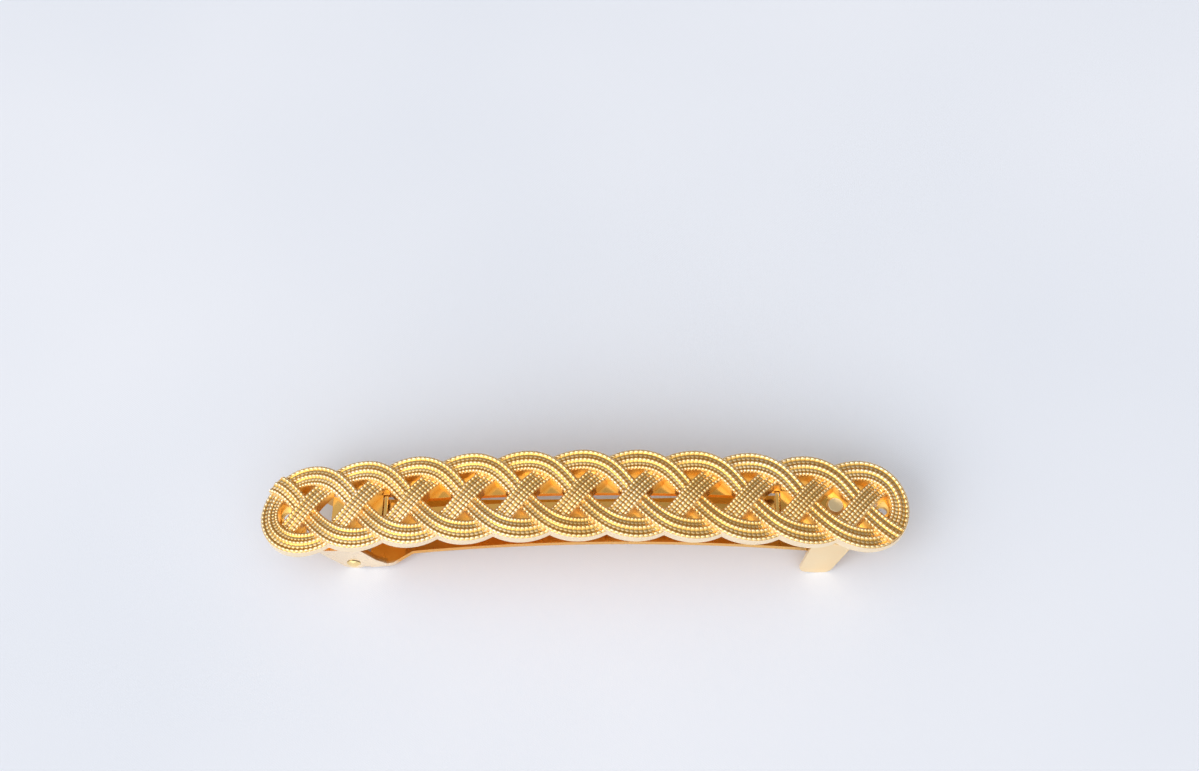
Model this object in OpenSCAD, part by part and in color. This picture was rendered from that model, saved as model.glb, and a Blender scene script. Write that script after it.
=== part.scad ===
// Braided hair barrette: an openwork plaited top plate on a bowed base bar, with a hinged
// clasp arm, a tension bar and a two-winged spring catch. It rests on its clasp side, z = 0.
// X runs from the hinge end to the catch end, Y across the barrette, Z points up.

/* [Braided top plate] */
// Spacing of the lobes along the braid
lobe_pitch = 7.1; // [6.4:0.1:8.6]
// Number of lobes along each long side (an odd number)
lobe_count = 11; // [9:2:13]
// Overall width of the braid across its lobes
braid_w = 12; // [11.5:0.1:15]
// Width of a strand where it rounds a lobe
strand_w = 2.7; // [2.2:0.05:3.2]
// Width of a strand where it crosses the others, and round the ends
cross_w = 2.35; // [1.9:0.05:2.7]
// How far the strand's path is squared off from a plain wave
fullness = 0.045; // [0:0.005:0.08]
// Thickness of the top plate, weave included
plate_t = 1.9; // [1.5:0.05:2.6]
// Height by which a strand that passes over stands proud
weave_h = 0.3; // [0.1:0.05:0.6]
// Share of a lobe pitch over which a strand stands proud at a crossing
weave_l = 0.6; // [0.4:0.05:0.8]

/* [Bow] */
// Radius of the bowed top surface
bow_r = 154; // [130:1:220]

/* [Base bar] */
// Distance from the braid's end to the bar's end
base_inset = 1.3; // [0.8:0.1:1.4]
// Width of the base bar
base_w = 8.6; // [8.4:0.1:9.2]
// Thickness of the base bar
base_t = 0.8; // [0.6:0.05:1]
// Corner radius of the bar's ends
base_corner_r = 2.2; // [1:0.1:3]
// Length of the long middle slot
slot_l = 40; // [30:0.5:44]
// Width of the long middle slot
slot_w = 1.2; // [1:0.1:2.5]
// Diameter of the sewing hole at each end
sew_hole_d = 1.2; // [0.8:0.1:1.6]
// Diameter of the dish round each sewing hole, on the bar's top
sew_dish_d = 2.8; // [1.8:0.1:3.2]
// Depth of that dish
sew_dish_h = 0.3; // [0.1:0.05:0.4]
// Distance from the bar's end to the sewing hole's centre
sew_hole_inset = 2; // [1.8:0.1:2.1]

/* [Hinge] */
// Distance from the bar's end to the hinge pin
hinge_inset = 10; // [9.5:0.1:10.5]
// Depth of the hinge pin below the bar's underside
pin_drop = 6.5; // [6:0.1:7.5]
// Diameter of the hinge pin
pin_d = 1.2; // [1:0.05:1.5]
// Radial running clearance of the pin in the arm
pin_fit = 0.05; // [0.02:0.01:0.09]
// Diameter of the pin's heads
pin_head_d = 1.9; // [1.7:0.05:2.4]
// Thickness of the pin's heads
pin_head_t = 0.3; // [0.2:0.05:0.5]
// Distance between the outer faces of the base's two ears
ear_span = 7; // [6.6:0.1:7.4]
// Thickness of an ear
ear_t = 0.7; // [0.5:0.05:0.8]
// Width of an ear where it leaves the bar
ear_root_w = 6.6; // [5:0.1:7]
// Shift of an ear's root towards the bar's end
ear_sweep = 0.6; // [0:0.1:0.8]
// Radius of an ear's nose round the pin
ear_nose_r = 1.4; // [1.2:0.05:1.6]
// Distance from the bar's end to the opening that the ears were punched from
punch_inset = 4.8; // [4.4:0.1:5.4]
// Length of that opening
punch_l = 3.4; // [2:0.1:4]

/* [Clasp arm] */
// Bending radius of the arm's underside
arm_r = 127; // [105:1:170]
// Height of the arm's tip above the surface that the barrette rests on
arm_tip_h = 0.95; // [0.9:0.05:1.2]
// Shift of the arm's highest point towards the catch
arm_crown_x = 2.9; // [2:0.1:4]
// Width of the arm's strip
arm_w = 6; // [5.8:0.1:7]
// Thickness of the arm
arm_t = 0.8; // [0.6:0.05:1]
// Width of the tongue at the arm's free end
tongue_w = 6; // [5:0.1:6.2]
// Length of the tongue
tongue_l = 5; // [4:0.1:6]
// Distance from the catch's middle to the tongue's tip
tongue_inset = 0.65; // [0.4:0.05:1]
// Side play between the ears and the arm's cheeks
cheek_play = 0.1; // [0.05:0.01:0.2]
// Thickness of the arm's cheeks
cheek_t = 0.7; // [0.5:0.05:0.8]
// Radius of a cheek's nose round the pin
cheek_nose_r = 1.7; // [1.5:0.05:1.9]

/* [Tension bar] */
// Width of the tension bar
tension_w = 3.3; // [3:0.1:4.4]
// Thickness of the tension bar
tension_t = 0.5; // [0.4:0.05:0.6]
// Bending radius of the tension bar, which bows away from the base
tension_r = 600; // [400:10:1200]
// Gap between the bar's hooked ends and the base's underside
tension_gap = 0.7; // [0.6:0.05:0.9]
// Width of the hooks at the ends
hook_w = 2.8; // [2:0.1:3.2]
// Length of the opening in the base at each hook, which reaches towards the middle
hook_open_l = 2.8; // [1.6:0.1:3.2]
// Play of a hook in its slot, all round
hook_play = 0.15; // [0.1:0.05:0.25]
// Length of the strip beyond a hook
hook_tail = 0.9; // [0.6:0.1:1.2]

/* [Catch] */
// Width of the catch's saddle along the barrette
saddle_l = 5; // [4:0.1:5.6]
// Thickness of the catch's spring sheet
catch_t = 0.5; // [0.4:0.05:0.6]
// Play between the saddle's bend and the wing that turns on it
bend_play = 0.08; // [0.06:0.01:0.12]
// Outward lean of each wing, in degrees
wing_lean = 7.5; // [5:0.5:10]
// Width of a wing near the saddle
wing_w = 4.9; // [4:0.1:5.4]
// Narrowing of the wing on its outer edge
wing_taper = 0.9; // [0:0.1:1.4]
// Corner radius at the wing's tip
wing_corner_r = 1; // [0.5:0.1:1.2]
// Play between the tongue's edges and the wings' lips
lip_play = 0.1; // [0.06:0.01:0.2]
// Depth of a lip below the tongue
lip_drop = 0.12; // [0.1:0.01:0.2]
// Length of a lip along the barrette
lip_l = 1.6; // [1:0.1:2]
// Thickness of a lip
lip_t = 0.35; // [0.3:0.05:0.4]
// Diameter of the catch rivet's shank
rivet_d = 1.2; // [1:0.1:1.4]
// Diameter of the catch rivet's heads
rivet_head_d = 2.4; // [1.8:0.1:2.6]
// Thickness of the catch rivet's heads
rivet_head_t = 0.4; // [0.3:0.05:0.5]

/* [Hidden] */
$fn = 64;

bright_gold = "#e8c878";
deep_gold = "#c89a48";
steel_gold = "#d4ac5c";
eps = 0.01;

// Braid: the strands' centre lines run between +wave_h and -wave_h.
half_count = (lobe_count - 1) / 2;
end_x = half_count * lobe_pitch;
wave_h = (braid_w - strand_w) / 2;
end_r = braid_w / 2;
end_hole_r = end_r - cross_w;
braid_half_l = end_x + end_r;
strand_steps = 6;

// Base bar, measured along X.
base_half_l = braid_half_l - base_inset;
hinge_x = hinge_inset - base_half_l;
sew_x = base_half_l - sew_hole_inset;
hook_x = 3.5 * lobe_pitch;
catch_x = 4.5 * lobe_pitch;

// Radii of the layers about the bow's axis, from the top down.
base_top_r = bow_r - plate_t;
base_low_r = base_top_r - base_t;
pin_r_bow = base_low_r - pin_drop;

// Heights: the cheeks' noses rest on z = 0.
pin_z = cheek_nose_r;
bow_z = pin_z - sqrt(pow(pin_r_bow, 2) - pow(hinge_x, 2));
top_z = bow_z + bow_r;
hinge_turn = asin(hinge_x / pin_r_bow);
catch_turn = asin(catch_x / base_low_r);

// Arm: an arc whose tip stands arm_tip_h above the rest surface.
tip_x = catch_x - tongue_inset;
arm_axis_z = arm_tip_h - sqrt(pow(arm_r, 2) - pow(tip_x - arm_crown_x, 2));
ear_in = ear_span / 2 - ear_t;
cheek_in = ear_span / 2 + cheek_play;
cheek_out = cheek_in + cheek_t;
punch_lip = 0.1;      // strip of the bar left between that opening and an ear
cheek_back = [-4.2, 4.1];   // corners of a cheek's side view, from the pin
cheek_front = [1.5, 4.1];
cheek_knee = [3.1, 0.9];
cheek_toe = [1.2, -1.2];
cheek_heel = [-1.45, -0.88];
channel_l = 6.8;      // from the pin to the end of the cheeks
channel_dip = 4.4;    // from the pin to the lowest point of the cheeks' top edge
channel_tail = 6;     // how far the cheeks may reach behind the pin
floor_start = 2;      // from the pin to the channel's floor
floor_low = -1.5;     // underside of the channel's floor, from the pin
dip_low = -1.1;       // underside of the arm at the dip, from the pin
neck_before = 1.6;    // the arm narrows from this far before the cheeks' end
neck_after = 1;       // to this far beyond it
shoulder_l = 1;       // length over which the strip narrows to the tongue
tongue_corner = 0.9;  // corner cut at the tongue's tip

// Tension bar: hooked under the base at +hook_x and -hook_x.
tension_hook_z = bow_z + sqrt(pow(base_low_r, 2) - pow(hook_x, 2)) - tension_gap;
tension_axis_z = tension_hook_z + sqrt(pow(tension_r, 2) - pow(hook_x, 2));
hook_far_x = hook_x + tension_t / 2 + hook_play;

// Catch: its bends lie along the base's edges.
bend_y = base_w / 2 - catch_t / 4;
wing_top = catch_t + bend_play;
toe_round = 1.5;      // roundness of the wing tip's other corner, in corner radii
heel_shift = 0.8;     // place of its first corner's centre, in corner radii from the edge
head_flat = 0.8;      // flat of the rivet's top head, as a share of its diameter
tail_flat = 0.7;      // the same for the head below
pin_head_flat = 0.6;  // and for the hinge pin's heads
wing_foot = 0.12;     // how far a wing's outline dips below the rest surface, which trims it flat
bend_z = bow_z + sqrt(pow(base_low_r, 2) - pow(catch_x, 2)) - catch_t * cos(catch_turn);
wing_l = (bend_z + wing_foot) / cos(wing_lean) / cos(catch_turn) - wing_top;
lip_inner_y = tongue_w / 2 + lip_play;

// Height of a point on an arc of radius r about an axis at height axis_z.
function arc_z(r, axis_z, x) = axis_z + sqrt(r * r - x * x);
function arm_low_z(x) = arc_z(arm_r, arm_axis_z, x - arm_crown_x);

// Centre line of a strand, x measured from a peak of the wave, and its slope.
function wave_y(x) = let (a = 90 * x / lobe_pitch)
    wave_h * ((1 + fullness) * cos(a) - fullness * cos(3 * a));
function wave_slope(x) = let (a = 90 * x / lobe_pitch)
    wave_h * PI / 2 / lobe_pitch * (-(1 + fullness) * sin(a) + 3 * fullness * sin(3 * a));
function strand_half_w(x) = let (a = 90 * x / lobe_pitch)
    (cross_w + (strand_w - cross_w) * pow(cos(a), 2)) / 2;
function strand_edge(x, side) = let (m = wave_slope(x), k = side * strand_half_w(x) / sqrt(1 + m * m))
    [x - m * k, wave_y(x) + k];

// A stretch of strand from x0 to x1, both measured from the wave's peak.
module strand(x0, x1) {
    steps = max(2, round((x1 - x0) / lobe_pitch * strand_steps));
    xs = [for (i = [0:steps]) x0 + (x1 - x0) * i / steps];
    polygon(concat([for (x = xs) strand_edge(x, 1)],
                   [for (i = [steps:-1:0]) strand_edge(xs[i], -1)]));
}

module end_discs() {
    for (side = [-1, 1]) translate([side * end_x, 0]) circle(r = end_r);
}

module braid_outline() {
    translate([-end_x, -end_r]) square([2 * end_x, 2 * end_r]);
    end_discs();
}

module end_rings() {
    for (side = [-1, 1]) translate([side * end_x, 0]) intersection() {
        difference() {
            circle(r = end_r);
            circle(r = end_hole_r);
        }
        translate([side > 0 ? 0 : -end_r, -end_r]) square([end_r, 2 * end_r]);
    }
}

// Strands 0 and 2 close into the end rings; 1 and 3 run out to the outline.
module strands() {
    for (k = [0:3]) {
        peak = (k - half_count) * lobe_pitch;
        run_out = k % 2 == 0 ? 0 : lobe_pitch;
        translate([peak, 0]) strand(-end_x - run_out - peak, end_x + run_out - peak);
    }
}

// The stretches that pass over: falling strands beside each row, rising ones in the middle.
module weave_tiles() {
    half_l = weave_l / 2 * lobe_pitch;
    for (j = [-half_count - 1:half_count - 1]) {
        peak = j * lobe_pitch;
        for (turn = [0.5, 1.5])
            translate([peak, 0]) strand(turn * lobe_pitch - half_l, turn * lobe_pitch + half_l);
        translate([peak, 0]) mirror([0, 1])
            strand(lobe_pitch - half_l, lobe_pitch + half_l);
    }
}

// A plate that follows the bow between two radii, w wide.
module bowed(r_out, r_in, w) {
    translate([0, 0, bow_z]) rotate([90, 0, 0]) difference() {
        cylinder(r = r_out, h = w, center = true, $fn = 180);
        cylinder(r = r_in, h = w + 1, center = true, $fn = 180);
    }
}

module upright(h = 40) {
    linear_extrude(height = h) children();
}

// A bar seen from above, with rounded corners.
module bar_plan(half_l, w, r) {
    square([2 * half_l, w - 2 * r], center = true);
    square([2 * (half_l - r), w], center = true);
    for (sx = [-1, 1], sy = [-1, 1])
        translate([sx * (half_l - r), sy * (w / 2 - r)]) circle(r = r);
}

module braided_top_plate() {
    color(bright_gold) {
        intersection() {
            bowed(bow_r - weave_h, bow_r - plate_t, braid_w + 2);
            upright() intersection() {
                union() {
                    strands();
                    end_rings();
                }
                braid_outline();
            }
        }
        intersection() {
            bowed(bow_r, bow_r - plate_t, braid_w + 2);
            upright() intersection() {
                weave_tiles();
                braid_outline();
            }
        }
    }
}

module base_plan() {
    difference() {
        bar_plan(base_half_l, base_w, base_corner_r);
        bar_plan_slot();
        for (side = [-1, 1]) translate([side * (hook_far_x - hook_open_l / 2), 0])
            square([hook_open_l, hook_w + 2 * hook_play], center = true);
        translate([punch_inset - base_half_l, punch_lip - ear_in])
            square([punch_l, 2 * (ear_in - punch_lip)]);
    }
}

module bar_plan_slot() {
    square([slot_l - slot_w, slot_w], center = true);
    for (side = [-1, 1]) translate([side * (slot_l - slot_w) / 2, 0]) circle(d = slot_w);
}

// Side view of an ear: the pin at the origin, the root up in the bar.
module ear_profile() {
    circle(r = ear_nose_r);
    root_z = pin_drop + base_t / 2;
    polygon([[-ear_root_w / 2 - ear_sweep, root_z], [ear_root_w / 2 - ear_sweep, root_z],
             [ear_nose_r, 0], [-ear_nose_r, 0]]);
}

module at_pin() {
    translate([hinge_x, 0, pin_z]) children();
}

// A plate standing across Y between two distances from the middle, given in X and Z.
module upright_plates(y_in, y_out) {
    for (side = [-1, 1]) translate([0, side > 0 ? y_out : -y_in, 0])
        rotate([90, 0, 0]) linear_extrude(height = y_out - y_in) children();
}

module base_bar() {
    color(deep_gold) difference() {
        union() {
            intersection() {
                bowed(base_top_r, base_low_r, base_w + 2);
                upright() base_plan();
            }
            at_pin() rotate([0, hinge_turn, 0]) upright_plates(ear_in, ear_in + ear_t) ear_profile();
        }
        at_pin() rotate([90, 0, 0]) cylinder(d = pin_d, h = base_w, center = true);
        for (side = [-1, 1]) translate([side * sew_x, 0, 0]) {
            cylinder(d = sew_hole_d, h = 40);
            translate([0, 0, arc_z(base_top_r, bow_z, sew_x) - sew_dish_h])
                cylinder(d1 = sew_hole_d, d2 = 2 * sew_dish_d - sew_hole_d, h = 2 * sew_dish_h);
        }
        at_catch() cylinder(d = rivet_d, h = 4, center = true);
    }
}

module hinge_pin() {
    color(steel_gold) at_pin() rotate([90, 0, 0]) {
        cylinder(d = pin_d, h = 2 * (cheek_out + pin_fit), center = true);
        for (side = [0, 1]) mirror([0, 0, side]) translate([0, 0, cheek_out + pin_fit])
            cylinder(d1 = pin_head_d, d2 = pin_head_d * pin_head_flat, h = pin_head_t);
    }
}

// Side view of a cheek, the pin at the origin.
module cheek_profile() {
    strip_x = hinge_x + channel_l;
    strip_low = arm_low_z(strip_x) - pin_z;
    circle(r = cheek_nose_r);
    polygon([cheek_back, cheek_front, cheek_knee, [channel_dip, dip_low + arm_t],
             [channel_l, strip_low + arm_t], [channel_l, strip_low], [channel_dip, dip_low],
             cheek_toe, cheek_heel]);
}

module channel_floor_profile() {
    strip_low = arm_low_z(hinge_x + channel_l) - pin_z;
    low = [[floor_start, floor_low], [channel_dip, dip_low], [channel_l, strip_low]];
    polygon(concat(low, [for (i = [2:-1:0]) low[i] + [0, arm_t]]));
}

// The arm seen from above: wide at the hinge, a parallel strip, then the tongue.
module arm_plan() {
    shoulder = tip_x - tongue_l;
    neck = hinge_x + channel_l;
    half = [[hinge_x - channel_tail, cheek_out], [neck - neck_before, cheek_out], [neck + neck_after, arm_w / 2],
            [shoulder - shoulder_l, arm_w / 2], [shoulder, tongue_w / 2],
            [tip_x - tongue_corner, tongue_w / 2], [tip_x, tongue_w / 2 - tongue_corner]];
    polygon(concat(half, [for (i = [len(half) - 1:-1:0]) [half[i][0], -half[i][1]]]));
}

module arm_strip() {
    translate([arm_crown_x, 0, arm_axis_z]) rotate([90, 0, 0]) difference() {
        cylinder(r = arm_r + arm_t, h = 12, center = true, $fn = 180);
        cylinder(r = arm_r, h = 13, center = true, $fn = 180);
    }
}

module clasp_arm() {
    color(deep_gold) difference() {
        union() {
            intersection() {
                arm_strip();
                upright(20) intersection() {
                    arm_plan();
                    translate([hinge_x + channel_l - eps, -10]) square([200, 20]);
                }
            }
            intersection() {
                at_pin() {
                    upright_plates(cheek_in, cheek_out) cheek_profile();
                    rotate([90, 0, 0]) linear_extrude(height = 2 * cheek_out, center = true)
                        channel_floor_profile();
                }
                translate([0, 0, -5]) upright() arm_plan();
            }
        }
        at_pin() rotate([90, 0, 0])
            cylinder(d = pin_d + 2 * pin_fit, h = 2 * cheek_out + 2, center = true);
    }
}

module tension_bar() {
    half_l = hook_x + hook_tail;
    color(steel_gold) {
        intersection() {
            translate([0, 0, tension_axis_z]) rotate([90, 0, 0]) difference() {
                cylinder(r = tension_r + tension_t, h = 12, center = true, $fn = 180);
                cylinder(r = tension_r, h = 13, center = true, $fn = 180);
            }
            upright(20) bar_plan(half_l, tension_w, 0.9);
        }
        for (side = [-1, 1])
            translate([side * hook_x - tension_t / 2, -hook_w / 2, tension_hook_z - tension_t / 2])
                cube([tension_t, hook_w, tension_t / 2 + tension_gap + base_t - eps]);
    }
}

// The catch's own frame: origin on the base's underside, Z square to it.
module at_catch() {
    translate([catch_x, 0, arc_z(base_low_r, bow_z, catch_x)]) rotate([0, catch_turn, 0]) children();
}

module catch_saddle() {
    color(steel_gold) difference() {
        union() {
            intersection() {
                bowed(base_low_r, base_low_r - catch_t, base_w + 2);
                translate([catch_x - saddle_l / 2, -bend_y, 0]) cube([saddle_l, 2 * bend_y, 20]);
            }
            at_catch() for (side = [-1, 1]) translate([0, side * bend_y, -catch_t]) rotate([0, 90, 0])
                cylinder(r = catch_t, h = saddle_l, center = true);
        }
        at_catch() cylinder(d = rivet_d, h = 4, center = true);
    }
}

// A wing seen from the side, hanging down from the bend, and trimmed to the rest surface.
module wing_outline() {
    half_w = wing_w / 2;
    r = wing_corner_r;
    translate([0, -wing_top]) hull() {
        translate([-half_w, -1]) square([wing_w, 1]);
        translate([-half_w + r * heel_shift, -wing_l + r]) circle(r = r);
        translate([half_w - wing_taper - r * toe_round, -wing_l + r * toe_round]) circle(r = r * toe_round);
    }
}

module wing(side) {
    color(steel_gold) intersection() {
        at_catch() translate([0, side * bend_y, -catch_t]) {
            rotate([side * wing_lean, 0, 0]) translate([0, catch_t / 2, 0]) rotate([90, 0, 0])
                linear_extrude(height = catch_t) wing_outline();
            wing_lip(side);
        }
        translate([catch_x - 15, -15, 0]) cube([30, 30, 30]);
    }
}

// The lip turned in under the tongue, in the wing's frame.
module wing_lip(side) {
    tip_low = arm_low_z(tip_x) - arc_z(base_low_r, bow_z, catch_x);
    lip_z = tip_low * cos(catch_turn) + (tip_x - catch_x) * sin(catch_turn) + catch_t - lip_drop;
    lip_reach = bend_y - lip_z * tan(wing_lean) - lip_inner_y;
    inner = lip_inner_y - bend_y;
    translate([-lip_l - 0.2, side > 0 ? inner : -inner - lip_reach, lip_z - lip_t])
        cube([lip_l, lip_reach, lip_t]);
}

module front_catch_wing() {
    wing(-1);
}

module rear_catch_wing() {
    wing(1);
}

module catch_rivet() {
    color(bright_gold) at_catch() {
        translate([0, 0, -catch_t]) cylinder(d = rivet_d, h = catch_t + base_t);
        translate([0, 0, base_t]) cylinder(d1 = rivet_head_d, d2 = rivet_head_d * head_flat, h = rivet_head_t);
        translate([0, 0, -catch_t - rivet_head_t])
            cylinder(d1 = rivet_head_d * tail_flat, d2 = rivet_head_d, h = rivet_head_t);
    }
}

braided_top_plate();
base_bar();
hinge_pin();
clasp_arm();
tension_bar();
catch_saddle();
front_catch_wing();
rear_catch_wing();
catch_rivet();
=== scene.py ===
import math
import bmesh
import bpy
import numpy as np
from mathutils import Matrix, Vector


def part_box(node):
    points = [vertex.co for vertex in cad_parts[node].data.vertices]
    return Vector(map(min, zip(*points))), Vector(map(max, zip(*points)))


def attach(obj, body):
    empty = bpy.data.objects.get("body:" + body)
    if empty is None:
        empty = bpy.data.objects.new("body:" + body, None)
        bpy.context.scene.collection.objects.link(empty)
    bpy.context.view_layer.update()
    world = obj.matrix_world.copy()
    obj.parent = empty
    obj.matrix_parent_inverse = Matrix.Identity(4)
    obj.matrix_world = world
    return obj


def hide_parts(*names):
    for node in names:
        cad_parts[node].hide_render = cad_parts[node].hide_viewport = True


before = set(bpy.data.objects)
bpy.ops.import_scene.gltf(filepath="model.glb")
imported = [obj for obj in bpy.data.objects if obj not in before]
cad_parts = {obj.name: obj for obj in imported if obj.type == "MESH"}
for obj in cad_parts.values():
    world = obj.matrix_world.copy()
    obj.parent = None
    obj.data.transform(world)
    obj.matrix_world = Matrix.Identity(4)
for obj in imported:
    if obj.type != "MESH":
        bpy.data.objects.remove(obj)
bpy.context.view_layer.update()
print("frame loaded:", ", ".join(sorted(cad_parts)))

mm = 0.001

# The bow: every layer of the back and the plate follows an arc about one axis far below
bow = dict(topRadius=154.0, plateThick=1.9)
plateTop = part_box("braided_top_plate")[1].z / mm
bowAxis = plateTop - bow["topRadius"]
barTopRadius = bow["topRadius"] - bow["plateThick"]


def bowHeight(x, radius):
    # height of an arc of this radius above x: the axis height plus the root of r squared less x squared
    return bowAxis + np.sqrt(radius ** 2 - x ** 2)


# ---- mesh helpers

def addPiece(name, mesh):
    piece = bpy.data.objects.new(name, mesh)
    bpy.context.scene.collection.objects.link(piece)
    return piece


def smoothShade(mesh, angle):
    mesh.shade_smooth()
    mesh.set_sharp_from_angle(angle=math.radians(angle))


def tubeMesh(name, grid, shades, uv):
    # a closed profile (columns) carried along a path (rows): quads between neighbours, a face at each end
    rows, columns = grid.shape[:2]
    i, j = np.meshgrid(np.arange(rows - 1), np.arange(columns), indexing="ij")
    k = (j + 1) % columns
    quads = np.stack([i * columns + j, (i + 1) * columns + j, (i + 1) * columns + k, i * columns + k], -1)
    quads = quads.reshape(-1, 4)
    ends = [np.arange(columns), np.arange(columns)[::-1] + (rows - 1) * columns]
    loops = np.concatenate([quads.ravel(), *ends])
    sizes = np.concatenate([np.full(len(quads), 4), [columns, columns]])
    mesh = bpy.data.meshes.new(name)
    mesh.vertices.add(rows * columns)
    mesh.vertices.foreach_set("co", (grid * mm).astype(np.float32).ravel())
    mesh.loops.add(len(loops))
    mesh.loops.foreach_set("vertex_index", loops.astype(np.int32))
    mesh.polygons.add(len(sizes))
    starts = np.concatenate([[0], np.cumsum(sizes)[:-1]])
    mesh.polygons.foreach_set("loop_start", starts.astype(np.int32))
    mesh.update(calc_edges=True)
    mesh.validate()
    for key, shade in shades.items():
        layer = mesh.attributes.new(key, "FLOAT", "POINT")
        layer.data.foreach_set("value", shade.astype(np.float32).ravel())
    layer = mesh.uv_layers.new(name="along")
    layer.data.foreach_set("uv", uv.reshape(-1, 2)[loops].astype(np.float32).ravel())
    return mesh


# ---- gold finishes

def link(tree, source, target):
    tree.links.new(source, target)


def addNode(tree, kind, **inputs):
    node = tree.nodes.new(kind)
    for key, value in inputs.items():
        node.inputs[key.replace("_", " ")].default_value = value
    return node


def colourRamp(tree, factor, stops):
    node = tree.nodes.new("ShaderNodeValToRGB")
    ramp = node.color_ramp
    while len(ramp.elements) < len(stops):
        ramp.elements.new(0.5)
    for element, (place, colour) in zip(ramp.elements, stops):
        element.position = place
        element.color = (*colour, 1.0)
    link(tree, factor, node.inputs["Fac"])
    return node.outputs["Color"]


def mapRange(tree, value, low, high):
    node = addNode(tree, "ShaderNodeMapRange", To_Min=low, To_Max=high)
    link(tree, value, node.inputs["Value"])
    return node.outputs["Result"]


def attribute(tree, name):
    node = tree.nodes.new("ShaderNodeAttribute")
    node.attribute_name = name
    return node.outputs["Fac"]


def tint(tree, colour, share, other):
    # the other colour where the share is one
    mix = tree.nodes.new("ShaderNodeMix")
    mix.data_type = "RGBA"
    link(tree, share, mix.inputs[0])
    link(tree, colour, mix.inputs[6])
    mix.inputs[7].default_value = (*other, 1.0)
    return mix.outputs[2]


def blendValues(tree, share, value, other):
    mix = tree.nodes.new("ShaderNodeMix")
    link(tree, share, mix.inputs[0])
    link(tree, value, mix.inputs[2])
    link(tree, other, mix.inputs[3])
    return mix.outputs[0]


def outsideShare(tree, place, near, far):
    # rises from none to one between two distances from the middle plane
    split = tree.nodes.new("ShaderNodeSeparateXYZ")
    link(tree, place, split.inputs[0])
    size = tree.nodes.new("ShaderNodeMath")
    size.operation = "ABSOLUTE"
    link(tree, split.outputs["Y"], size.inputs[0])
    span = addNode(tree, "ShaderNodeMapRange", From_Min=near * mm, From_Max=far * mm)
    link(tree, size.outputs[0], span.inputs["Value"])
    return span.outputs["Result"]


plating = dict(
    toneSpan=(0.3, 0.7),   # where the tone's noise reaches the deep and the bright colour
    toneDetail=3.0,
    wearDetail=5.0,
    grainDetail=2.0,
    grainDepth=0.03,
    coatRough=0.12,
)


def goldFinish(name, look):
    # plated metal: its tone drifts slowly, a finer cloud sets the polish, and a fine grain lifts it
    material = bpy.data.materials.new(name)
    material.use_nodes = True
    tree = material.node_tree
    shader = tree.nodes["Principled BSDF"]
    shader.inputs["Metallic"].default_value = 1.0
    shader.inputs["Coat Weight"].default_value = look["coat"]
    shader.inputs["Coat Roughness"].default_value = plating["coatRough"]
    place = tree.nodes.new("ShaderNodeTexCoord").outputs["Object"]
    tone = addNode(tree, "ShaderNodeTexNoise", Scale=look["toneScale"], Detail=plating["toneDetail"])
    wear = addNode(tree, "ShaderNodeTexNoise", Scale=look["wearScale"], Detail=plating["wearDetail"])
    grain = addNode(tree, "ShaderNodeTexNoise", Scale=look["grainScale"], Detail=plating["grainDetail"])
    for node in (tone, wear, grain):
        link(tree, place, node.inputs["Vector"])
    stops = zip(plating["toneSpan"], (look["deep"], look["bright"]))
    colour = colourRamp(tree, tone.outputs["Fac"], list(stops))
    rough = mapRange(tree, wear.outputs["Fac"], *look["rough"])
    if "groove" in look:     # painted shade between the beads and on the walls inside the windows, a painted pale reflection on the outer walls, which are also duller
        flankSheen = attribute(tree, "flankSheen")
        colour = tint(tree, colour, attribute(tree, "gapShade"), look["groove"])
        colour = tint(tree, colour, flankSheen, look["flankSheen"])
        matt = mapRange(tree, wear.outputs["Fac"], *look["flankRough"])
        rough = blendValues(tree, flankSheen, rough, matt)
    if "cheekSheen" in look:    # painted reflection: the outer cheeks are paler
        colour = tint(tree, colour, outsideShare(tree, place, *look["cheekSheenSpan"]), look["cheekSheen"])
    link(tree, colour, shader.inputs["Base Color"])
    link(tree, rough, shader.inputs["Roughness"])
    bump = addNode(tree, "ShaderNodeBump", Strength=look["bump"], Distance=plating["grainDepth"] * mm)
    link(tree, grain.outputs["Fac"], bump.inputs["Height"])
    link(tree, bump.outputs["Normal"], shader.inputs["Normal"])
    return material


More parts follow.
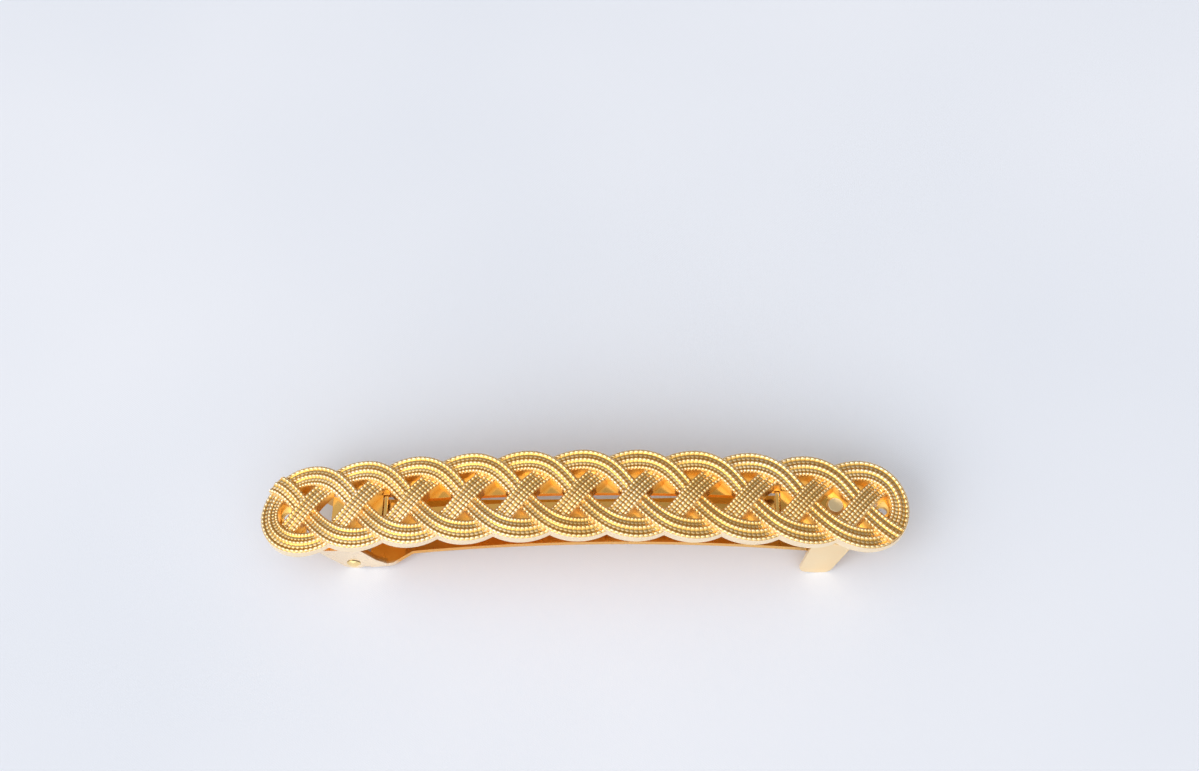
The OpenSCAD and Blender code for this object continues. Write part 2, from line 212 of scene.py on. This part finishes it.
finishes = dict(
    # the braid's groove colour is painted shade between the beads and inside the windows; its pale wall
    # colour is a painted reflection on the outer walls
    braid=dict(deep=(0.98, 0.70, 0.33), bright=(1.0, 0.85, 0.60), groove=(0.87, 0.49, 0.10), coat=0.25,
               flankSheen=(1.0, 0.84, 0.60), flankRough=(0.45, 0.65),
               toneScale=90.0, wearScale=700.0, grainScale=5000.0, rough=(0.16, 0.34), bump=0.25),
    base=dict(deep=(0.95, 0.49, 0.10), bright=(1.0, 0.62, 0.18), coat=0.15,
              toneScale=60.0, wearScale=400.0, grainScale=3000.0, rough=(0.12, 0.3), bump=0.15),
    arm=dict(deep=(0.95, 0.47, 0.09), bright=(1.0, 0.60, 0.16), coat=0.15,
             # the arm's pale cheek colour is a painted reflection on its outer faces
             cheekSheen=(1.0, 0.84, 0.62), cheekSheenSpan=(3.9, 4.2),
             toneScale=60.0, wearScale=400.0, grainScale=3000.0, rough=(0.2, 0.36), bump=0.15),
    spring=dict(deep=(0.95, 0.54, 0.14), bright=(1.0, 0.68, 0.24), coat=0.15,
                toneScale=80.0, wearScale=500.0, grainScale=3500.0, rough=(0.14, 0.3), bump=0.15),
    # the wings are gold; their paler tone is a painted highlight for the cream reflection they catch
    wing=dict(deep=(1.0, 0.76, 0.44), bright=(1.0, 0.84, 0.56), coat=0.4,
              toneScale=120.0, wearScale=600.0, grainScale=4000.0, rough=(0.22, 0.4), bump=0.2),
    rivet=dict(deep=(1.0, 0.84, 0.55), bright=(1.0, 0.92, 0.70), coat=0.3,
               toneScale=200.0, wearScale=900.0, grainScale=4000.0, rough=(0.4, 0.55), bump=0.12),
    pin=dict(deep=(0.95, 0.66, 0.28), bright=(1.0, 0.78, 0.36), coat=0.3,
             toneScale=200.0, wearScale=900.0, grainScale=4000.0, rough=(0.12, 0.28), bump=0.12),
)
materials = {key: goldFinish("gold_" + key, look) for key, look in finishes.items()}


# ---- braided top plate

braid = dict(
    pitch=7.1,            # spacing of the lobes
    lobes=11,             # along each long side
    wide=2.7,             # strand where it rounds a lobe
    narrow=2.35,          # strand where it crosses
    squareness=0.045,     # third wave in the strand's path
    halfWidth=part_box("braided_top_plate")[1].y / mm,
    sink=0.32,            # drop of a strand at its lobes, doubled where it passes under
    crown=0.12,           # fall of the top from its middle row to its outer rows
    beadPitch=0.53,
    beadRadius=0.225,     # the outer and middle rows
    beadHeight=0.23,
    beadWaist=0.85,       # how far a bead is rounded off towards the next in its row
    lowRadius=0.2,        # the two rows between them, which stand lower
    lowHeight=0.08,
    rowInset=0.235,       # from a strand's edge to its outer row of beads
    groove=0.1,           # depth of the hollow the lower rows lie in
    draft=0.1,            # lean of the walls inside the windows, foot from top
    lift=-0.16,           # plain surface of an over strand, from the top of the bow
    stepsPerBead=8,       # points along a bead
    pointsPerRow=7,       # points across a row of beads
    pathSteps=400,        # points along a pitch of a strand's middle line
    trimRows=40,          # rows of points between the last whole bead and the plate's outline
    windowRim=0.1,        # share of the rim's painted pale reflection that walls inside the windows take
    rimFade=1.6,          # how soon a wall that turns outwards takes all of it
    smoothAngle=50,
)
waveHeight = braid["halfWidth"] - braid["wide"] / 2
halfCount = (braid["lobes"] - 1) / 2
endX = halfCount * braid["pitch"]
ringRadius = braid["halfWidth"] - braid["narrow"] / 2


def wavePath(u, peakX):
    # a strand's middle line, u pitches from a top peak: a cosine four pitches long and its third harmonic
    a = math.pi / 2 * u
    f = braid["squareness"]
    y = waveHeight * ((1 + f) * np.cos(a) - f * np.cos(3 * a))
    half = (braid["narrow"] + (braid["wide"] - braid["narrow"]) * np.cos(a) ** 2) / 2
    # over (+1) at 0.5, 1.5 and 3 pitches, under (-1) at 1, 2.5 and 3.5, eased by a cosine between
    turns = np.interp(np.mod(u + 0.5, 4), [0, 1, 1.5, 2, 3, 3.5, 4], np.arange(-1, 6))
    return np.stack([peakX + u * braid["pitch"], y, half, np.cos(math.pi * turns)], -1)


def ringPath(turn, side):
    # an end loop: half a circle whose middle line swells by the strand's narrowing, over then under
    angle = turn - math.pi / 2
    radius = waveHeight + (ringRadius - waveHeight) * np.cos(angle) ** 2
    half = braid["halfWidth"] - radius
    x = side * (endX + radius * np.cos(angle))
    return np.stack([x, radius * np.sin(angle), half, -side * np.sin(2 * turn)], -1)


def pathLength(path):
    # distance along the path to each of its points
    return np.concatenate([[0], np.cumsum(np.hypot(*np.diff(path[:, :2], axis=0).T))])


def acrossPath(path, length, across):
    # points square to the path, at these distances to its left
    slope = np.gradient(path[:, :2], length, axis=0)
    slope /= np.linalg.norm(slope, axis=1)[:, None]
    return path[:, 0:1] - slope[:, 1:2] * across, path[:, 1:2] + slope[:, 0:1] * across


def trimRuns(path, length, across):
    # for each column, the first and last distance at which it lies inside the plate's rounded outline
    x, y = acrossPath(path, length, across)
    inside = np.hypot(np.clip(np.abs(x) - endX, 0, None), y) <= braid["halfWidth"]
    return length[inside.argmax(0)], length[len(length) - 1 - inside[::-1].argmax(0)]


def beadRows(path, trimmed):
    # distances along the path by row and column: whole beads, then on a trimmed strand a fan out
    # to the plate's outline
    length = pathLength(path)
    beadStep = length[-1] / round(length[-1] / braid["beadPitch"])
    step = beadStep / braid["stepsPerBead"]
    first, last = np.zeros(1), length[-1:]
    if trimmed:
        first, last = trimRuns(path, length, strandColumns(path[:, 2]))
    low = math.ceil(first.max() / beadStep) * beadStep * (first.max() > 0)
    high = math.floor(last.min() / beadStep + 1e-6) * beadStep
    rows = [np.linspace(low, high, round((high - low) / step) + 1)[:, None] + 0 * first]
    if trimmed:
        fan = np.linspace(0, 1, braid["trimRows"] + 1)[:, None]
        rows.insert(0, first + (low - first) * fan[:-1])
        rows.append(high + (last - high) * fan[1:])
    return np.concatenate(rows), length, beadStep


def strandColumns(half):
    # places across a strand: an even spread over each of its five rows of beads, and one at each edge
    spread = np.linspace(-1, 1, braid["pointsPerRow"])
    outer = (half - braid["rowInset"])[:, None]
    rows = [outer * share + spread * braid["beadRadius" if share in (-1, 0, 1) else "lowRadius"]
            for share in (-1, -0.5, 0, 0.5, 1)]
    return np.concatenate([-half[:, None], *rows, half[:, None]], 1)


def strandRelief(across, along, half, beadStep):
    # rows of domes: the root of one less the squared distances from a bead's middle; the low rows lie in a
    # hollow, a parabola deep; the gap share is how far a place is from the top of a bead, and sets the
    # painted shade between the beads
    outer = half - braid["rowInset"]
    row = np.clip(np.round(across / outer * 2), -2, 2)
    low = row % 2 == 1
    offRow = (across - row * outer / 2) / np.where(low, braid["lowRadius"], braid["beadRadius"])
    bead = along / beadStep
    offBead = (bead - np.floor(bead) - 0.5) * 2 * np.where(low, 1, braid["beadWaist"])
    dome = np.sqrt(np.clip(1 - offRow ** 2 - offBead ** 2, 0, 1))
    hollow = np.clip(1 - ((np.abs(across) - outer / 2) / (outer / 2 - braid["beadRadius"])) ** 2, 0, 1)
    height = dome * np.where(low, braid["lowHeight"], braid["beadHeight"]) - hollow * braid["groove"]
    height -= braid["crown"] * (across / half) ** 2
    gapShade = (1 - dome) * (np.abs(across) < half - 1e-6)
    return height, gapShade


def leanWalls(x, y):
    # a foot outside each edge, a draft away, but none where that leads out of the plate's rounded outline;
    # rim is one for walls on the outline and falls to the window's share for those inside; rim sets a
    # wall's painted pale reflection, and one less rim its painted shade
    feet = []
    rim = []
    for edge, inner in ((0, 2), (-1, -3)):
        away = np.stack([x[:, edge] - x[:, inner], y[:, edge] - y[:, inner]])
        away /= np.maximum(np.linalg.norm(away, axis=0), 1e-9)
        radial = np.stack([x[:, edge] - np.clip(x[:, edge], -endX, endX), y[:, edge]])
        outward = (away * radial).sum(0) / waveHeight
        reach = braid["draft"] * np.clip(1 - outward, 0, 1)
        turned = np.clip(outward * braid["rimFade"], 0, 1)
        rim.append(braid["windowRim"] + (1 - braid["windowRim"]) * turned)
        feet.append([x[:, edge] + away[0] * reach, y[:, edge] + away[1] * reach])
    (leftX, leftY), (rightX, rightY) = feet
    x = np.concatenate([leftX[:, None], x, rightX[:, None]], 1)
    y = np.concatenate([leftY[:, None], y, rightY[:, None]], 1)
    return x, y, np.stack(rim, -1)


def sampleRows(along, length, field):
    # each column of a field, read at that column's own distances along the path
    return np.stack([np.interp(along[:, j], length, field[:, j]) for j in range(field.shape[1])], 1)


def strandPiece(name, path, trimmed=False):
    # the section across a strand, at every row along its middle line: foot, beaded top, foot
    along, length, beadStep = beadRows(path, trimmed)
    columns = strandColumns(path[:, 2])
    x, y = acrossPath(path, length, columns)
    along = np.broadcast_to(along, (len(along), columns.shape[1]))
    whole = np.ones_like(columns)
    fields = (x, y, columns, path[:, 2:3] * whole, path[:, 3:4] * whole)
    x, y, across, half, weave = (sampleRows(along, length, field) for field in fields)
    height, gapShade = strandRelief(across, along, half, beadStep)
    top = bow["topRadius"] + braid["lift"] + braid["sink"] * (weave - 1) + height
    foot = np.full((len(x), 1), barTopRadius)
    radius = np.concatenate([foot, top, foot], 1)
    widen = ((0, 0), (1, 1))
    across, along = (np.pad(field, widen, "edge") for field in (across, along))
    x, y, rim = leanWalls(x, y)
    grid = np.stack([x, y, bowHeight(x, radius)], -1)
    # walls facing out take the painted pale reflection, walls inside the windows the painted shade
    flankSheen = np.zeros(x.shape)
    flankSheen[:, [0, 1, -2, -1]] = rim[:, [0, 0, 1, 1]]
    gapShade = np.pad(gapShade, widen)
    gapShade[:, [0, -1]] = 1 - rim
    shades = dict(gapShade=gapShade, flankSheen=flankSheen)
    mesh = tubeMesh(name, grid, shades, np.stack([along, across], -1))
    smoothShade(mesh, braid["smoothAngle"])
    mesh.materials.append(materials["braid"])
    piece = addPiece(name, mesh)
    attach(piece, "barrette_back")
    return piece


def makeBraid():
    # two strands that end in a half ring each, and two runners cut off by the plate's outline
    steps = braid["pathSteps"]
    fine = np.linspace(0, 2 * halfCount, int(2 * halfCount) * steps + 1)
    halfTurn = np.linspace(0, math.pi, 2 * steps)
    firstPeak = -endX
    upper = wavePath(fine, firstPeak)
    lower = wavePath(fine - 2, firstPeak + 2 * braid["pitch"])[::-1]
    pieces = [
        strandPiece("strand_loop_a", np.concatenate([upper, ringPath(halfTurn, 1)[1:]])),
        strandPiece("strand_loop_b", np.concatenate([lower, ringPath(halfTurn, -1)[1:]])),
    ]
    for name, shift in (("strand_runner_a", 1), ("strand_runner_b", 3)):
        run = np.linspace(-1 - shift, 2 * halfCount + 1 - shift, int(2 * halfCount + 2) * steps)
        path = wavePath(run, firstPeak + shift * braid["pitch"])
        pieces.append(strandPiece(name, path, trimmed=True))
    return pieces


braidPieces = makeBraid()
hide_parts("braided_top_plate")
print("braid made:", len(braidPieces), "strands")


# ---- stamped parts: the back, the arm, the springs and their pins

stamped = dict(
    base_bar=dict(body="barrette_back", slot="plated_base", finish="base", edge=0.12),
    clasp_arm=dict(body="arm", slot="plated_arm", finish="arm", edge=0.14),
    tension_bar=dict(body="tension", slot="plated_spring", finish="spring", edge=0.1),
    catch_saddle=dict(body="barrette_back", slot="plated_spring", finish="spring", edge=0.06),
    front_catch_wing=dict(body="front_wing", slot="plated_wing", finish="wing", edge=0.12),
    rear_catch_wing=dict(body="rear_wing", slot="plated_wing", finish="wing", edge=0.12),
    hinge_pin=dict(body="barrette_back", slot="plated_pin", finish="pin", edge=0.08),
    catch_rivet=dict(body="barrette_back", slot="plated_pin", finish="rivet", edge=0.08),
)


edges = dict(flatAngle=0.4, smoothAngle=30, bevelAngle=35, segments=2)


def polishPart(node, part):
    # the frame's own shape, merged, with its edges broken as tumbling leaves them
    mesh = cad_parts[node].data.copy()
    shell = bmesh.new()
    shell.from_mesh(mesh)
    bmesh.ops.remove_doubles(shell, verts=shell.verts, dist=1e-6)
    flat = math.radians(edges["flatAngle"])
    bmesh.ops.dissolve_limit(shell, angle_limit=flat, verts=shell.verts, edges=shell.edges)
    shell.to_mesh(mesh)
    shell.free()
    mesh.materials.clear()
    mesh.materials.append(materials[part["finish"]])
    smoothShade(mesh, edges["smoothAngle"])
    piece = addPiece(node + "_polished", mesh)
    bevel = piece.modifiers.new("edges", "BEVEL")
    bevel.width = part["edge"] * mm
    bevel.segments = edges["segments"]
    bevel.limit_method = "ANGLE"
    bevel.angle_limit = math.radians(edges["bevelAngle"])
    bevel.harden_normals = True
    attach(piece, part["body"])
    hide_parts(node)


for node, part in stamped.items():
    polishPart(node, part)
print("stamped parts polished:", len(stamped))


# ---- table, light and camera

table = dict(
    size=3.0,
    deep=(0.80, 0.83, 0.90),
    bright=(0.86, 0.88, 0.94),
    cloudScale=12.0,
    rough=0.9,
    threadTurns=(35, 125),   # the two thread directions of the cloth
    threadScale=1300.0,
    threadWander=3.0,
    bump=0.06,
    bumpDepth=0.3,
)


def makeTable():
    half = table["size"] / 2
    mesh = bpy.data.meshes.new("table_top")
    corners = [(-half, -half, 0), (half, -half, 0), (half, half, 0), (-half, half, 0)]
    mesh.from_pydata(corners, [], [(0, 1, 2, 3)])
    piece = addPiece("table_top", mesh)
    material = bpy.data.materials.new("table_cloth")
    material.use_nodes = True
    tree = material.node_tree
    shader = tree.nodes["Principled BSDF"]
    shader.inputs["Roughness"].default_value = table["rough"]
    place = tree.nodes.new("ShaderNodeTexCoord").outputs["Object"]
    cloud = addNode(tree, "ShaderNodeTexNoise", Scale=table["cloudScale"], Detail=2.0)
    link(tree, place, cloud.inputs["Vector"])
    threads = []
    for turn in table["threadTurns"]:
        turned = addNode(tree, "ShaderNodeMapping", Rotation=(0, 0, math.radians(turn)))
        link(tree, place, turned.inputs["Vector"])
        wave = addNode(tree, "ShaderNodeTexWave", Scale=table["threadScale"], Detail=3.0)
        wave.inputs["Distortion"].default_value = table["threadWander"]
        link(tree, turned.outputs["Vector"], wave.inputs["Vector"])
        threads.append(wave.outputs["Fac"])
    weave = tree.nodes.new("ShaderNodeMath")
    weave.operation = "ADD"
    link(tree, threads[0], weave.inputs[0])
    link(tree, threads[1], weave.inputs[1])
    stops = zip(plating["toneSpan"], (table["deep"], table["bright"]))
    colour = colourRamp(tree, cloud.outputs["Fac"], list(stops))
    link(tree, colour, shader.inputs["Base Color"])
    bump = addNode(tree, "ShaderNodeBump", Strength=table["bump"], Distance=table["bumpDepth"] * mm)
    link(tree, weave.outputs[0], bump.inputs["Height"])
    link(tree, bump.outputs["Normal"], shader.inputs["Normal"])
    mesh.materials.append(material)


light = dict(
    keyPlace=(-1.12, -1.22, 1.44),   # the key stands at the front left
    keySize=1.5,
    keyWatts=15.5,
    keyColour=(1.0, 0.97, 0.93),
    skyFrom=(-0.35, -0.75, 0.35),    # the brightest part of the room
    skyDark=(0.31, 0.27, 0.20),
    skyBright=(1.33, 1.40, 1.52),
    skyRamp=(0.45, 0.9),
)


def makeKey():
    lamp = bpy.data.lights.new("key", "AREA")
    lamp.size = light["keySize"]
    lamp.energy = light["keyWatts"]
    lamp.color = light["keyColour"]
    piece = bpy.data.objects.new("key", lamp)
    piece.location = light["keyPlace"]
    piece.rotation_euler = Vector(light["keyPlace"]).to_track_quat("Z", "Y").to_euler()
    bpy.context.scene.collection.objects.link(piece)


def makeWorld():
    # the room: light falls off smoothly from its bright side to its dark side
    world = bpy.data.worlds.new("room")
    world.use_nodes = True
    tree = world.node_tree
    background = tree.nodes["Background"]
    place = tree.nodes.new("ShaderNodeTexCoord").outputs["Generated"]
    toward = tree.nodes.new("ShaderNodeVectorMath")
    toward.operation = "DOT_PRODUCT"
    toward.inputs[1].default_value = Vector(light["skyFrom"]).normalized()
    link(tree, place, toward.inputs[0])
    span = addNode(tree, "ShaderNodeMapRange", From_Min=-1.0)
    link(tree, toward.outputs["Value"], span.inputs["Value"])
    stops = zip(light["skyRamp"], (light["skyDark"], light["skyBright"]))
    colour = colourRamp(tree, span.outputs["Result"], list(stops))
    link(tree, colour, background.inputs["Color"])
    bpy.context.scene.world = world


view = dict(
    elevation=61.35,
    yaw=7.375,
    roll=-7.31,
    target=(2.446, 14.874),   # a place at the height of the plate's top
    distance=214.163,
    lens=50.0,
    sensor=36.0,
    nearest=5.0,
)


def makeCamera():
    # looks down at the target from the front, a little from the right, tipped about its own axis
    el, yaw, roll = (math.radians(view[key]) for key in ("elevation", "yaw", "roll"))
    back = Vector((math.sin(yaw) * math.cos(el), -math.cos(yaw) * math.cos(el), math.sin(el)))
    right = Vector((math.cos(yaw), math.sin(yaw), 0))
    up = back.cross(right)
    cos, sin = math.cos(roll), math.sin(roll)
    right, up = (cos * right + sin * up, cos * up - sin * right)
    place = Vector((*view["target"], plateTop)) * mm + back * view["distance"] * mm
    lens = bpy.data.cameras.new("camera")
    lens.lens = view["lens"]
    lens.sensor_width = view["sensor"]
    lens.clip_start = view["nearest"] * mm
    camera = bpy.data.objects.new("camera", lens)
    camera.matrix_world = Matrix.Translation(place) @ Matrix((right, up, back)).transposed().to_4x4()
    bpy.context.scene.collection.objects.link(camera)
    bpy.context.scene.camera = camera


makeTable()
makeKey()
makeWorld()
makeCamera()
bpy.context.scene.view_settings.view_transform = "Standard"
print("table, light and camera placed")
